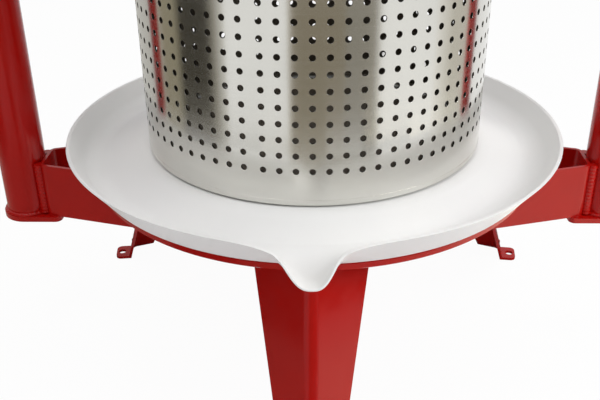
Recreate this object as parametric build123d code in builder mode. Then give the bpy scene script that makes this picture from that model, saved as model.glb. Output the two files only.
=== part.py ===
"""Fruit press with a perforated steel basket, a spouted juice tray and a two-post screw frame.

Millimetres, +Z up. The origin is on the floor under the basket's axis. The spout points to -Y
and the two uprights stand on the X axis. The press plate is drawn raised clear of the basket.
"""

import os
from math import cos, pi, radians, sin, sqrt, tan

from build123d import *

os.makedirs("parts", exist_ok=True)

# Clearances
seat_gap = 0.3  # between loose pieces that rest on each other
weld_gap = 0.2  # root gap of welded pieces whose faces aren't flat against each other
running_gap = 0.05  # radial, shaft in bore
bolt_gap = 0.4  # radial, bolt in hole

# Base plate
base_plate_level = 174.0  # underside above the floor
base_plate_radius = 196.0
base_plate_thickness = 6.0
base_plate_chamfer = 0.8

# Legs: folded V sheet with the ridge outwards, splayed, with bolt-down tabs
leg_sheet = 3.0
leg_bend = 10.0  # outer bend radius of the ridge
leg_half_angle = 53.0  # between the radius and each flange
leg_flange_top = 58.8
leg_flange_foot = 26.6
leg_ridge_top = 188.0  # radius of the ridge under the base plate
leg_ridge_foot = 249.0  # radius of the ridge on the floor
tab_width = 23.2
tab_reach = 14.0
tab_corner = 5.5
tab_centre = 15.0  # along the flange, from the ridge
tab_hole_offset = 7.6  # out from the flange's outer face
tab_hole_radius = 4.2

# Uprights and the beams that carry them
upright_offset = 274.6  # of each axis from the basket's axis
upright_radius = 21.2
upright_wall = 3.2
beam_height = 52.0
beam_sheet = 3.0
beam_end_width = 37.2
beam_flare = 15.6  # degrees that each wall opens towards the middle
beam_bend = 8.0
beam_joint_gap = 0.4  # between the two beams at the middle
sole_thickness = 5.0
sole_margin = 3.0  # beyond the upright
sole_inner_reach = 35.5  # from the upright's axis towards the middle
sole_corner = 6.0
cap_lip = 4.0
cap_plug = 14.0
cap_wall = 2.5

# Juice tray
tray_base_height = 20.4
tray_foot_radius = 198.5
tray_rim_radius = 222.0  # before its edge is rounded
tray_rim_rise = 8.0  # rim above the level that the basket stands on
tray_wall = 3.0  # square to the wall
tray_gutter_depth = 15.0  # below the level that the basket stands on
tray_platform_margin = 8.0  # beyond the basket
tray_rim_round = 1.4
tray_foot_round = 5.0
tray_gutter_round = 20.0
tray_platform_round = 30.0
spout_length = 19.0  # beyond the rim
spout_root_half_width = 40.0
spout_root_rise = 4.5  # start of its trough above the gutter's unrounded bottom
spout_neck_half_width = 23.0
spout_tip_half_width = 9.0
spout_tip_depth = 16.5  # lip's trough below the level that the basket stands on
spout_wall = 3.2
spout_nose_radius = 12.0  # of the lip seen from above

# Basket
basket_radius = 148.5
basket_sheet = 1.5
basket_height = 290.0
basket_hem = 6.0
basket_bead_radius = 4.0
drain_radius = 4.8  # of each drain hole, to its corners
drain_sides = 6
drain_pitch = 30.0
drain_foot_margin = 40.0  # lowest row above the basket's foot
drain_top_margin = 62.0  # plain band below the rim, for the handles
handle_rod_radius = 5.0
handle_half_span = 55.0
handle_reach = 46.0
handle_drop = 45.0  # below the basket's rim
handle_bend = 16.0

# Screw
spindle_radius = 13.0
spindle_travel = 235.0
collar_radius = 16.0
collar_height = 10.0
neck_radius = 10.0
neck_clearance = 8.0  # of the thread above the retainer
head_journal_radius = 10.0
head_journal_length = 24.0

# Press plate
plate_side_gap = 4.5  # to the basket's hem, with room for the press bag
plate_thickness = 6.0
plate_rest_gap = 10.0  # raised plate above the basket's rim
rib_height = 25.0
rib_thickness = 8.0
rib_end_inset = 13.0  # from the plate's edge
rib_end_height = 8.0
cup_wall = 14.0  # around the collar
cup_floor = 4.0
cup_bore_gap = 0.4
thrust_washer_thickness = 2.5
collar_gap = 0.2
retainer_thickness = 8.0
retainer_split = 0.6

# Crosshead
crossbar_height = 70.0
crossbar_thickness = 8.0
crossbar_overhang = 34.0  # beyond the upright's axis
crossbar_corner = 12.0
upright_overtop = 15.0
crossbar_bolt_radius = 6.0
nut_block_width = 100.0
block_bolt_radius = 5.0
block_bolt_edge = 15.0  # from the block's sides
nut_wall = 4.0  # around the spindle
nut_flange_reach = 10.0
nut_flange_thickness = 10.0
nut_flange_clearance = 11.0  # between the screw heads of the nut and of the raised retainer
small_screw_radius = 3.0
small_screw_depth = 11.0  # in the piece that it holds to

# Proportions of the fasteners, in bolt radii
hex_corner_ratio = 1.75
hex_head_ratio = 1.25
hex_nut_ratio = 1.7
washer_ratio = 2.0
washer_thickness_ratio = 0.4
round_head_ratio = 1.6
round_head_height_ratio = 1.5
bolt_end = 3.0  # thread beyond the nut

# Handle
hub_radius = 24.0
hub_web = 4.0  # between the spindle's end and the bar
hub_cover = 6.0  # above the bar
hub_round = 2.0
hub_clearance = 10.0  # above the crosshead when the plate is down
hub_pin_radius = 3.0
bar_radius = 8.0
bar_length = 440.0
bar_chamfer = 1.0
knob_radius = 17.0

# Levels that follow from the sizes above
base_plate_top = base_plate_level + base_plate_thickness
tray_seat = base_plate_top + seat_gap
tray_floor = tray_seat + tray_base_height
basket_seat = tray_floor + seat_gap
basket_top = basket_seat + basket_height
plate_bottom = basket_top + plate_rest_gap
plate_top = plate_bottom + plate_thickness
cup_cavity = plate_top + cup_floor
collar_bottom = cup_cavity + thrust_washer_thickness + collar_gap
collar_top = collar_bottom + collar_height
cup_top = collar_top + collar_gap
retainer_top = cup_top + retainer_thickness
small_head_height = round_head_height_ratio * small_screw_radius
nut_flange_bottom = retainer_top + 2 * small_head_height + nut_flange_clearance
crossbar_bottom = nut_flange_bottom + nut_flange_thickness
crossbar_middle = crossbar_bottom + crossbar_height / 2
crossbar_top = crossbar_bottom + crossbar_height
upright_top = crossbar_top + upright_overtop
hub_bottom = crossbar_top + hub_clearance + spindle_travel
beam_bottom = base_plate_level - beam_height
beam_end = upright_offset - upright_radius - weld_gap
beam_slope = tan(radians(beam_flare))
crossbar_inner = upright_radius + weld_gap
crossbar_outer = crossbar_inner + crossbar_thickness
block_bolt_x = nut_block_width / 2 - block_bolt_edge
block_bolt_z = crossbar_height / 2 - block_bolt_edge
nut_radius = spindle_radius + nut_wall
nut_flange_radius = nut_radius + nut_flange_reach
nut_screw_circle = nut_radius + nut_flange_reach / 2
plate_radius = basket_radius - 2 * basket_sheet - plate_side_gap
cup_radius = collar_radius + cup_wall
retainer_screw_circle = collar_radius + cup_wall / 2
bar_level = hub_bottom + head_journal_length + hub_web + bar_radius
hub_top = bar_level + bar_radius + hub_cover
hub_pin_level = hub_bottom + head_journal_length / 2


def save(builder, name):
    """Label a finished piece and write it to its own file."""
    builder.part.label = name
    export_step(builder.part, f"parts/{name}.step")


def turned_plane(azimuth, level):
    """A level plane whose X axis points out along the azimuth."""
    outwards = (cos(radians(azimuth)), sin(radians(azimuth)), 0)
    return Plane(origin=(0, 0, level), x_dir=outwards, z_dir=(0, 0, 1))


def beam_half_width(distance):
    """Outer half width of the beams at a distance from the middle."""
    return beam_end_width / 2 + beam_slope * (beam_end - distance)


# Base plate under the tray
with BuildPart() as base_plate:
    with BuildSketch(Plane.XY.offset(base_plate_level)):
        Circle(base_plate_radius)
    extrude(amount=base_plate_thickness)
    chamfer(base_plate.edges().filter_by(GeomType.CIRCLE), base_plate_chamfer)
save(base_plate, "base_plate")


def leg_section(ridge, flange):
    """Horizontal section of a leg: two flanges that meet in a rounded ridge."""
    along_x = -cos(radians(leg_half_angle))
    along_y = sin(radians(leg_half_angle))
    inner_ridge = ridge - leg_sheet / sin(radians(leg_half_angle))
    outer_end = (ridge + flange * along_x, flange * along_y)
    inner_end = (outer_end[0] - leg_sheet * along_y, outer_end[1] + leg_sheet * along_x)
    inner_bend = leg_bend - leg_sheet
    with BuildSketch() as section:
        with BuildLine():
            FilletPolyline(outer_end, (ridge, 0), (outer_end[0], -outer_end[1]), radius=leg_bend)
            Line((outer_end[0], -outer_end[1]), (inner_end[0], -inner_end[1]))
            FilletPolyline((inner_end[0], -inner_end[1]), (inner_ridge, 0), inner_end, radius=inner_bend)
            Line(inner_end, outer_end)
        make_face()
    return section.sketch


def build_leg(name, azimuth):
    """One splayed leg, trimmed where its flange meets a beam."""
    foot_section = leg_section(leg_ridge_foot, leg_flange_foot)
    top_section = leg_section(leg_ridge_top, leg_flange_top)
    with BuildPart() as leg:
        with BuildSketch(turned_plane(azimuth, 0)):
            add(foot_section)
        with BuildSketch(turned_plane(azimuth, base_plate_level)):
            add(top_section)
        loft(ruled=True)
        for side in (1, -1):
            turn = side * (90 - leg_half_angle)
            tab_plane = turned_plane(azimuth, 0)
            tab_plane = tab_plane.shift_origin(tab_plane.from_local_coords((leg_ridge_foot, 0, 0)))
            with BuildSketch(tab_plane.rotated((0, 0, turn))):
                with Locations((tab_reach / 2 - leg_sheet / 2, side * tab_centre)):
                    tab = Rectangle(tab_reach + leg_sheet, tab_width)
                fillet(tab.vertices().group_by(Axis.X)[-1], tab_corner)
                with Locations((tab_hole_offset, side * tab_centre)):
                    Circle(tab_hole_radius, mode=Mode.SUBTRACT)
            extrude(amount=leg_sheet)
        with BuildSketch(Plane.XY.offset(beam_bottom - weld_gap)):
            ends = beam_end_width / 2 + weld_gap
            middle = beam_half_width(0) + weld_gap
            Polygon(
                (beam_end, ends), (0, middle), (-beam_end, ends),
                (-beam_end, -ends), (0, -middle), (beam_end, -ends),
                align=None,
            )
        extrude(amount=beam_height + weld_gap, mode=Mode.SUBTRACT)
    save(leg, name)


build_leg("front_leg", -90)
build_leg("rear_left_leg", 150)
build_leg("rear_right_leg", 30)


def build_beam(name, side):
    """Flat bar bent into a U: its closed end is welded to an upright, its walls open to the middle."""
    inner_shift = beam_sheet / cos(radians(beam_flare))
    inner_end = beam_end - beam_sheet
    joint = beam_joint_gap / 2
    outer = beam_half_width(joint)
    inner = beam_half_width(joint) - inner_shift
    inner_corner = beam_half_width(inner_end) - inner_shift
    end = beam_end_width / 2
    with BuildPart() as beam:
        with BuildSketch(Plane.XY.offset(beam_bottom)):
            with BuildLine():
                FilletPolyline(
                    (side * joint, outer), (side * beam_end, end),
                    (side * beam_end, -end), (side * joint, -outer),
                    radius=beam_bend,
                )
                Line((side * joint, -outer), (side * joint, -inner))
                FilletPolyline(
                    (side * joint, -inner), (side * inner_end, -inner_corner),
                    (side * inner_end, inner_corner), (side * joint, inner),
                    radius=beam_bend - beam_sheet,
                )
                Line((side * joint, inner), (side * joint, outer))
            make_face()
        extrude(amount=beam_height)
    save(beam, name)


def build_sole_plate(name, side):
    """Plate that closes the foot of an upright and of its beam."""
    half_width = upright_radius + sole_margin
    with BuildPart() as sole:
        with BuildSketch(Plane.XY.offset(beam_bottom - sole_thickness)):
            with Locations((side * upright_offset, 0)):
                Circle(half_width)
            with Locations((side * (upright_offset - sole_inner_reach / 2), 0)):
                bar = Rectangle(sole_inner_reach, 2 * half_width)
            inner_end = Axis.X if side > 0 else Axis((0, 0, 0), (-1, 0, 0))
            fillet(bar.vertices().group_by(inner_end)[0], sole_corner)
        extrude(amount=sole_thickness)
    save(sole, name)


def build_upright(name, side):
    """Round tube with a cross hole for the crosshead bolt."""
    with BuildPart() as upright:
        with BuildSketch(Plane.XY.offset(beam_bottom)):
            with Locations((side * upright_offset, 0)):
                Circle(upright_radius)
                Circle(upright_radius - upright_wall, mode=Mode.SUBTRACT)
        extrude(amount=upright_top - beam_bottom)
        with BuildSketch(Plane.XZ):
            with Locations((side * upright_offset, crossbar_middle)):
                Circle(crossbar_bolt_radius + bolt_gap)
        extrude(amount=upright_radius, both=True, mode=Mode.SUBTRACT)
    save(upright, name)


def build_upright_cap(name, side):
    """Plastic plug in the top of an upright."""
    plug_radius = upright_radius - upright_wall - running_gap
    with BuildPart() as cap:
        with BuildSketch(Plane.XY.offset(upright_top - cap_plug)):
            with Locations((side * upright_offset, 0)):
                Circle(plug_radius)
                Circle(plug_radius - cap_wall, mode=Mode.SUBTRACT)
        extrude(amount=cap_plug)
        with BuildSketch(Plane.XY.offset(upright_top)):
            with Locations((side * upright_offset, 0)):
                Circle(upright_radius)
        extrude(amount=cap_lip)
        fillet(cap.edges().filter_by(GeomType.CIRCLE).group_by(Axis.Z)[-1], cap_lip / 2)
    save(cap, name)


for side_name, side in (("left", -1), ("right", 1)):
    build_beam(f"{side_name}_beam", side)
    build_sole_plate(f"{side_name}_sole_plate", side)
    build_upright(f"{side_name}_upright", side)
    build_upright_cap(f"{side_name}_upright_cap", side)


def build_crossbar(name, side):
    """Flat bar that joins the uprights and holds the nut block."""
    face = crossbar_inner if side < 0 else -crossbar_outer
    half_length = upright_offset + crossbar_overhang
    with BuildPart() as crossbar:
        with BuildSketch(Plane.XZ.offset(face)):
            with Locations((0, crossbar_middle)):
                bar = Rectangle(2 * half_length, crossbar_height)
            fillet(bar.vertices(), crossbar_corner)
            with Locations((upright_offset, crossbar_middle), (-upright_offset, crossbar_middle)):
                Circle(crossbar_bolt_radius + bolt_gap, mode=Mode.SUBTRACT)
            with Locations((0, crossbar_middle)):
                with GridLocations(2 * block_bolt_x, 2 * block_bolt_z, 2, 2):
                    Circle(block_bolt_radius + bolt_gap, mode=Mode.SUBTRACT)
        extrude(amount=crossbar_thickness)
    save(crossbar, name)


build_crossbar("front_crossbar", -1)
build_crossbar("rear_crossbar", 1)

washer_thickness = washer_thickness_ratio * crossbar_bolt_radius
crossbar_bolt_places = ((upright_offset, crossbar_middle), (-upright_offset, crossbar_middle))

# Bolts along Y through the crossbars and the uprights, with washers and nuts
with BuildPart() as crossbar_bolts:
    front_face = crossbar_outer + washer_thickness
    with BuildSketch(Plane.XZ.offset(front_face)):
        with Locations(*crossbar_bolt_places):
            RegularPolygon(hex_corner_ratio * crossbar_bolt_radius, 6)
    extrude(amount=hex_head_ratio * crossbar_bolt_radius)
    with BuildSketch(Plane.XZ.offset(front_face)):
        with Locations(*crossbar_bolt_places):
            Circle(crossbar_bolt_radius)
    extrude(amount=-(2 * front_face + hex_nut_ratio * crossbar_bolt_radius + bolt_end))
save(crossbar_bolts, "crossbar_bolts")

with BuildPart() as crossbar_washers:
    for face in (crossbar_outer, -crossbar_outer - washer_thickness):
        with BuildSketch(Plane.XZ.offset(face)):
            with Locations(*crossbar_bolt_places):
                Circle(washer_ratio * crossbar_bolt_radius)
                Circle(crossbar_bolt_radius + bolt_gap, mode=Mode.SUBTRACT)
        extrude(amount=washer_thickness)
save(crossbar_washers, "crossbar_washers")

with BuildPart() as crossbar_nuts:
    with BuildSketch(Plane.XZ.offset(-crossbar_outer - washer_thickness)):
        with Locations(*crossbar_bolt_places):
            RegularPolygon(hex_corner_ratio * crossbar_bolt_radius, 6)
            Circle(crossbar_bolt_radius + running_gap, mode=Mode.SUBTRACT)
    extrude(amount=-hex_nut_ratio * crossbar_bolt_radius)
save(crossbar_nuts, "crossbar_nuts")

# Steel block between the crossbars that holds the bronze nut
with BuildPart() as nut_block:
    with BuildSketch(Plane.XY.offset(crossbar_bottom)):
        Rectangle(nut_block_width, 2 * crossbar_inner)
        Circle(nut_radius + running_gap, mode=Mode.SUBTRACT)
    extrude(amount=crossbar_height)
    with BuildSketch(Plane.XZ):
        with Locations((0, crossbar_middle)):
            with GridLocations(2 * block_bolt_x, 2 * block_bolt_z, 2, 2):
                Circle(block_bolt_radius + bolt_gap)
    extrude(amount=crossbar_inner, both=True, mode=Mode.SUBTRACT)
    with BuildSketch(Plane.XY.offset(crossbar_bottom)):
        with PolarLocations(nut_screw_circle, 4, 45):
            Circle(small_screw_radius + running_gap)
    extrude(amount=small_screw_depth, mode=Mode.SUBTRACT)
save(nut_block, "nut_block")

with BuildPart() as block_bolts:
    with BuildSketch(Plane.XZ.offset(crossbar_outer)):
        with Locations((0, crossbar_middle)):
            with GridLocations(2 * block_bolt_x, 2 * block_bolt_z, 2, 2):
                RegularPolygon(hex_corner_ratio * block_bolt_radius, 6)
    extrude(amount=hex_head_ratio * block_bolt_radius)
    with BuildSketch(Plane.XZ.offset(crossbar_outer)):
        with Locations((0, crossbar_middle)):
            with GridLocations(2 * block_bolt_x, 2 * block_bolt_z, 2, 2):
                Circle(block_bolt_radius)
    extrude(amount=-(2 * crossbar_outer + hex_nut_ratio * block_bolt_radius + bolt_end))
save(block_bolts, "block_bolts")

with BuildPart() as block_nuts:
    with BuildSketch(Plane.XZ.offset(-crossbar_outer)):
        with Locations((0, crossbar_middle)):
            with GridLocations(2 * block_bolt_x, 2 * block_bolt_z, 2, 2):
                RegularPolygon(hex_corner_ratio * block_bolt_radius, 6)
                Circle(block_bolt_radius + running_gap, mode=Mode.SUBTRACT)
    extrude(amount=-hex_nut_ratio * block_bolt_radius)
save(block_nuts, "block_nuts")

# Bronze nut: its flange takes the pressing force from below
with BuildPart() as spindle_nut:
    with BuildSketch(Plane.XY.offset(crossbar_bottom)):
        Circle(nut_radius)
    extrude(amount=crossbar_height)
    with BuildSketch(Plane.XY.offset(nut_flange_bottom)):
        Circle(nut_flange_radius)
    extrude(amount=nut_flange_thickness)
    with BuildSketch(Plane.XY.offset(nut_flange_bottom)):
        Circle(spindle_radius + running_gap)
    extrude(amount=nut_flange_thickness + crossbar_height, mode=Mode.SUBTRACT)
    with BuildSketch(Plane.XY.offset(nut_flange_bottom)):
        with PolarLocations(nut_screw_circle, 4, 45):
            Circle(small_screw_radius + bolt_gap)
    extrude(amount=nut_flange_thickness, mode=Mode.SUBTRACT)
save(spindle_nut, "spindle_nut")

with BuildPart() as nut_screws:
    with BuildSketch(Plane.XY.offset(nut_flange_bottom)):
        with PolarLocations(nut_screw_circle, 4, 45):
            Circle(round_head_ratio * small_screw_radius)
    extrude(amount=-small_head_height)
    with BuildSketch(Plane.XY.offset(nut_flange_bottom)):
        with PolarLocations(nut_screw_circle, 4, 45):
            Circle(small_screw_radius)
    extrude(amount=nut_flange_thickness + small_screw_depth)
save(nut_screws, "nut_screws")

# Juice tray: raised platform, gutter, sloping wall with a rounded rim, and a pouring spout
tray_rim_top = tray_floor + tray_rim_rise
gutter_level = tray_floor - tray_gutter_depth
wall_lean = (tray_rim_radius - tray_foot_radius) / (tray_rim_top - tray_seat)
level_wall = tray_wall * sqrt(1 + wall_lean**2)  # thickness measured level
gutter_radius = tray_foot_radius + wall_lean * (gutter_level - tray_seat) - level_wall
spout_reach = tray_rim_radius + spout_length
spout_root = tray_foot_radius - spout_wall
lip_level = tray_floor - spout_tip_depth
cut_margin = 2.0  # by which a cut runs past the faces that it opens

spout_stations = (
    # distance from the axis, half width, trough's bottom, top of its round part
    (spout_root, spout_root_half_width, gutter_level + spout_root_rise, tray_floor),
    (tray_rim_radius, spout_neck_half_width, (gutter_level + lip_level) / 2, tray_floor),
    (spout_reach + cut_margin, spout_tip_half_width, lip_level, (lip_level + tray_floor) / 2),
)


def spout_section(half_width, bottom, shoulder):
    """Cross-section of the spout: a round trough with straight sides up to above the rim."""
    top = tray_rim_top + cut_margin
    with BuildSketch() as section:
        with BuildLine():
            ThreePointArc((-half_width, shoulder), (0, bottom), (half_width, shoulder))
            Polyline((half_width, shoulder), (half_width, top), (-half_width, top), (-half_width, shoulder))
        make_face()
    return section.sketch


# Solid blank of the spout, cut away inside the middle of the tray's wall
with BuildPart() as spout_blank:
    for distance, half_width, bottom, shoulder in spout_stations:
        with BuildSketch(Plane.XZ.offset(distance)):
            add(spout_section(half_width + spout_wall, bottom - spout_wall, shoulder))
    loft()
    with BuildSketch(Plane.XZ):
        with BuildLine():
            Polyline(
                (0, tray_seat), (tray_foot_radius - level_wall / 2, tray_seat),
                (tray_rim_radius - level_wall / 2, tray_rim_top),
                (tray_rim_radius - level_wall / 2, tray_rim_top + 2 * cut_margin),
                (0, tray_rim_top + 2 * cut_margin), close=True,
            )
        make_face()
    revolve(axis=Axis.Z, mode=Mode.SUBTRACT)
    with BuildSketch(Plane.XY.offset(tray_seat)):
        with Locations((0, -spout_reach)):
            Rectangle(4 * spout_nose_radius, 2 * spout_nose_radius)
        with Locations((0, spout_nose_radius - spout_reach)):
            Circle(spout_nose_radius, mode=Mode.SUBTRACT)
    extrude(amount=tray_base_height + tray_rim_rise + 2 * cut_margin, mode=Mode.SUBTRACT)

with BuildPart() as juice_tray:
    with BuildSketch(Plane.XZ):
        with BuildLine():
            FilletPolyline(
                (0, tray_seat), (tray_foot_radius, tray_seat), (tray_rim_radius, tray_rim_top),
                (tray_rim_radius - level_wall, tray_rim_top), (gutter_radius, gutter_level),
                (basket_radius + tray_platform_margin, tray_floor), (0, tray_floor),
                radius=[
                    tray_foot_round, tray_rim_round, tray_rim_round,
                    tray_gutter_round, tray_platform_round,
                ],
            )
            Line((0, tray_floor), (0, tray_seat))
        make_face()
    revolve(axis=Axis.Z)
    add(spout_blank.part)
    for distance, half_width, bottom, shoulder in spout_stations:
        with BuildSketch(Plane.XZ.offset(distance)):
            add(spout_section(half_width, bottom, shoulder))
    loft(mode=Mode.SUBTRACT)
    # the rim dips in an S-curve on both sides of the lip
    dip_root = spout_root_half_width - spout_wall
    dip_neck = spout_neck_half_width + spout_wall / 2
    with BuildSketch(Plane.XZ.offset(spout_root)):
        with BuildLine():
            Spline(
                (-dip_root, tray_rim_top + cut_margin), (-dip_neck, tray_floor), (0, lip_level + spout_wall),
                (dip_neck, tray_floor), (dip_root, tray_rim_top + cut_margin),
            )
            Line((dip_root, tray_rim_top + cut_margin), (-dip_root, tray_rim_top + cut_margin))
        make_face()
    extrude(amount=spout_reach - spout_root + cut_margin, mode=Mode.SUBTRACT)
save(juice_tray, "juice_tray")

drain_columns = int(2 * pi * basket_radius / drain_pitch)
drain_rows = int((basket_height - drain_foot_margin - drain_top_margin) / drain_pitch) + 1
drain_middle = basket_seat + drain_foot_margin + drain_pitch * (drain_rows - 1) / 2

# Basket: rolled sheet with a hemmed foot, a rolled rim and columns of drain holes
with BuildPart() as basket_shell:
    inner = basket_radius - basket_sheet
    with BuildSketch(Plane.XZ):
        with BuildLine():
            Polyline(
                (basket_radius, basket_seat), (basket_radius, basket_top - basket_bead_radius),
                (inner, basket_top - basket_bead_radius), (inner, basket_seat + basket_hem),
                (inner - basket_sheet, basket_seat + basket_hem), (inner - basket_sheet, basket_seat),
                close=True,
            )
        make_face()
        with Locations((inner + basket_bead_radius, basket_top - basket_bead_radius)):
            Circle(basket_bead_radius)
    revolve(axis=Axis.Z)
    cut_start = inner - basket_sheet
    for column in range(drain_columns):
        column_plane = turned_plane(360 * (column + 0.5) / drain_columns, drain_middle)
        outwards = column_plane.x_dir
        with BuildSketch(Plane(column_plane.origin + outwards * cut_start, column_plane.y_dir, outwards)):
            with GridLocations(drain_pitch, drain_pitch, 1, drain_rows):
                RegularPolygon(drain_radius, drain_sides)
    extrude(amount=3 * basket_sheet, mode=Mode.SUBTRACT)
save(basket_shell, "basket_shell")

# Two carrying handles of bent rod, welded to the basket's sides
with BuildPart() as basket_handles:
    foot = sqrt(basket_radius**2 - (handle_half_span - handle_rod_radius) ** 2) + weld_gap
    level = basket_top - handle_drop
    for side in (1, -1):
        with BuildLine() as handle_path:
            FilletPolyline(
                (side * foot, -handle_half_span, level),
                (side * (basket_radius + handle_reach), -handle_half_span, level),
                (side * (basket_radius + handle_reach), handle_half_span, level),
                (side * foot, handle_half_span, level),
                radius=handle_bend,
            )
        with BuildSketch(Plane(origin=handle_path.line @ 0, z_dir=handle_path.line % 0)):
            Circle(handle_rod_radius)
        sweep(path=handle_path.line)
save(basket_handles, "basket_handles")

# Press plate with its ribs and the cup that holds the spindle's foot
with BuildPart() as press_plate:
    with BuildSketch(Plane.XY.offset(plate_bottom)):
        Circle(plate_radius)
    extrude(amount=plate_thickness)
    fillet(press_plate.edges().filter_by(GeomType.CIRCLE), plate_thickness / 4)
save(press_plate, "press_plate")

with BuildPart() as plate_ribs:
    for azimuth in range(45, 405, 90):
        outwards = (cos(radians(azimuth)), sin(radians(azimuth)), 0)
        across = (sin(radians(azimuth)), -cos(radians(azimuth)), 0)
        rib_end = plate_radius - rib_end_inset
        with BuildSketch(Plane(origin=(0, 0, plate_top), x_dir=outwards, z_dir=across)):
            Polygon(
                (cup_radius + weld_gap, 0), (rib_end, 0), (rib_end, rib_end_height),
                (cup_radius + rib_height, rib_height), (cup_radius + weld_gap, rib_height),
                align=None,
            )
        extrude(amount=rib_thickness / 2, both=True)
save(plate_ribs, "plate_ribs")

with BuildPart() as thrust_cup:
    with BuildSketch(Plane.XY.offset(plate_top)):
        Circle(cup_radius)
    extrude(amount=cup_top - plate_top)
    with BuildSketch(Plane.XY.offset(cup_cavity)):
        Circle(collar_radius + cup_bore_gap)
    extrude(amount=cup_top - cup_cavity, mode=Mode.SUBTRACT)
    with BuildSketch(Plane.XY.offset(cup_top)):
        with PolarLocations(retainer_screw_circle, 4, 45):
            Circle(small_screw_radius + running_gap)
    extrude(amount=-small_screw_depth, mode=Mode.SUBTRACT)
save(thrust_cup, "thrust_cup")

with BuildPart() as thrust_washer:
    with BuildSketch(Plane.XY.offset(cup_cavity)):
        Circle(collar_radius)
    extrude(amount=thrust_washer_thickness)
save(thrust_washer, "thrust_washer")

with BuildPart() as cup_retainer:
    with BuildSketch(Plane.XY.offset(cup_top)):
        Circle(cup_radius)
        Circle(neck_radius + seat_gap, mode=Mode.SUBTRACT)
        Rectangle(2 * cup_radius, retainer_split, mode=Mode.SUBTRACT)
        with PolarLocations(retainer_screw_circle, 4, 45):
            Circle(small_screw_radius + bolt_gap, mode=Mode.SUBTRACT)
    extrude(amount=retainer_thickness)
save(cup_retainer, "cup_retainer")

with BuildPart() as retainer_screws:
    with BuildSketch(Plane.XY.offset(retainer_top)):
        with PolarLocations(retainer_screw_circle, 4, 45):
            Circle(round_head_ratio * small_screw_radius)
    extrude(amount=small_head_height)
    with BuildSketch(Plane.XY.offset(retainer_top)):
        with PolarLocations(retainer_screw_circle, 4, 45):
            Circle(small_screw_radius)
    extrude(amount=-(retainer_thickness + small_screw_depth))
save(retainer_screws, "retainer_screws")

# Spindle: collar in the cup, neck in the retainer, thread, and a journal for the handle hub
with BuildPart() as spindle:
    thread_bottom = retainer_top + neck_clearance
    with BuildSketch(Plane.XZ):
        with BuildLine():
            Polyline(
                (0, collar_bottom), (collar_radius, collar_bottom), (collar_radius, collar_top),
                (neck_radius, collar_top), (neck_radius, thread_bottom), (spindle_radius, thread_bottom),
                (spindle_radius, hub_bottom), (head_journal_radius, hub_bottom),
                (head_journal_radius, hub_bottom + head_journal_length),
                (0, hub_bottom + head_journal_length), close=True,
            )
        make_face()
    revolve(axis=Axis.Z)
    with BuildSketch(Plane.XZ):
        with Locations((0, hub_pin_level)):
            Circle(hub_pin_radius + running_gap)
    extrude(amount=spindle_radius, both=True, mode=Mode.SUBTRACT)
save(spindle, "spindle")

# Handle hub with the cross hole that the bar slides in
with BuildPart() as handle_hub:
    with BuildSketch(Plane.XY.offset(hub_bottom)):
        Circle(hub_radius)
    extrude(amount=hub_top - hub_bottom)
    fillet(handle_hub.edges().filter_by(GeomType.CIRCLE), hub_round)
    with BuildSketch(Plane.XY.offset(hub_bottom)):
        Circle(head_journal_radius + running_gap)
    extrude(amount=head_journal_length + seat_gap, mode=Mode.SUBTRACT)
    with BuildSketch(Plane.YZ):
        with Locations((0, bar_level)):
            Circle(bar_radius + running_gap)
    extrude(amount=hub_radius, both=True, mode=Mode.SUBTRACT)
    with BuildSketch(Plane.XZ):
        with Locations((0, hub_pin_level)):
            Circle(hub_pin_radius + running_gap)
    extrude(amount=hub_radius, both=True, mode=Mode.SUBTRACT)
save(handle_hub, "handle_hub")

with BuildPart() as hub_pin:
    with BuildSketch(Plane.XZ):
        with Locations((0, hub_pin_level)):
            Circle(hub_pin_radius)
    extrude(amount=hub_radius, both=True)
save(hub_pin, "hub_pin")

with BuildPart() as handle_bar:
    with BuildSketch(Plane.YZ):
        with Locations((0, bar_level)):
            Circle(bar_radius)
    extrude(amount=bar_length / 2, both=True)
    chamfer(handle_bar.edges().filter_by(GeomType.CIRCLE), bar_chamfer)
save(handle_bar, "handle_bar")

with BuildPart() as bar_knobs:
    with Locations((bar_length / 2, 0, bar_level), (-bar_length / 2, 0, bar_level)):
        Sphere(knob_radius)
    with BuildSketch(Plane.YZ):
        with Locations((0, bar_level)):
            Circle(bar_radius + running_gap)
    extrude(amount=bar_length / 2 + seat_gap, both=True, mode=Mode.SUBTRACT)
save(bar_knobs, "bar_knobs")
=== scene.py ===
import math

import bpy
import numpy as np
from mathutils import Matrix, Vector


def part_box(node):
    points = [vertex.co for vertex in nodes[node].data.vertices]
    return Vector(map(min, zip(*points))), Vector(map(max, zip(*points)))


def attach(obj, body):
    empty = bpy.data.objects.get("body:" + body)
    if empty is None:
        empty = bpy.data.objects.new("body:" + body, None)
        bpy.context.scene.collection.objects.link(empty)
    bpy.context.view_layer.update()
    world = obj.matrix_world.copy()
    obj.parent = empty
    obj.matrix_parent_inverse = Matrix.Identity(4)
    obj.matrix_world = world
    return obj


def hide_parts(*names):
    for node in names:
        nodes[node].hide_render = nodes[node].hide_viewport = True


# Fruit press: finishes of every piece, perforated basket wall, moulded tray, thread and welds
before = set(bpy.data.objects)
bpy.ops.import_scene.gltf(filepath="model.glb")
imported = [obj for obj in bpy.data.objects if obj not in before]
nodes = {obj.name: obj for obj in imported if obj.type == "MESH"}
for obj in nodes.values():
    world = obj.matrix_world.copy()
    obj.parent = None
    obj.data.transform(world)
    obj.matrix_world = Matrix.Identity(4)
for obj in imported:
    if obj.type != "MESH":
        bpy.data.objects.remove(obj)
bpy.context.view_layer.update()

MM = 0.001

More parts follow.
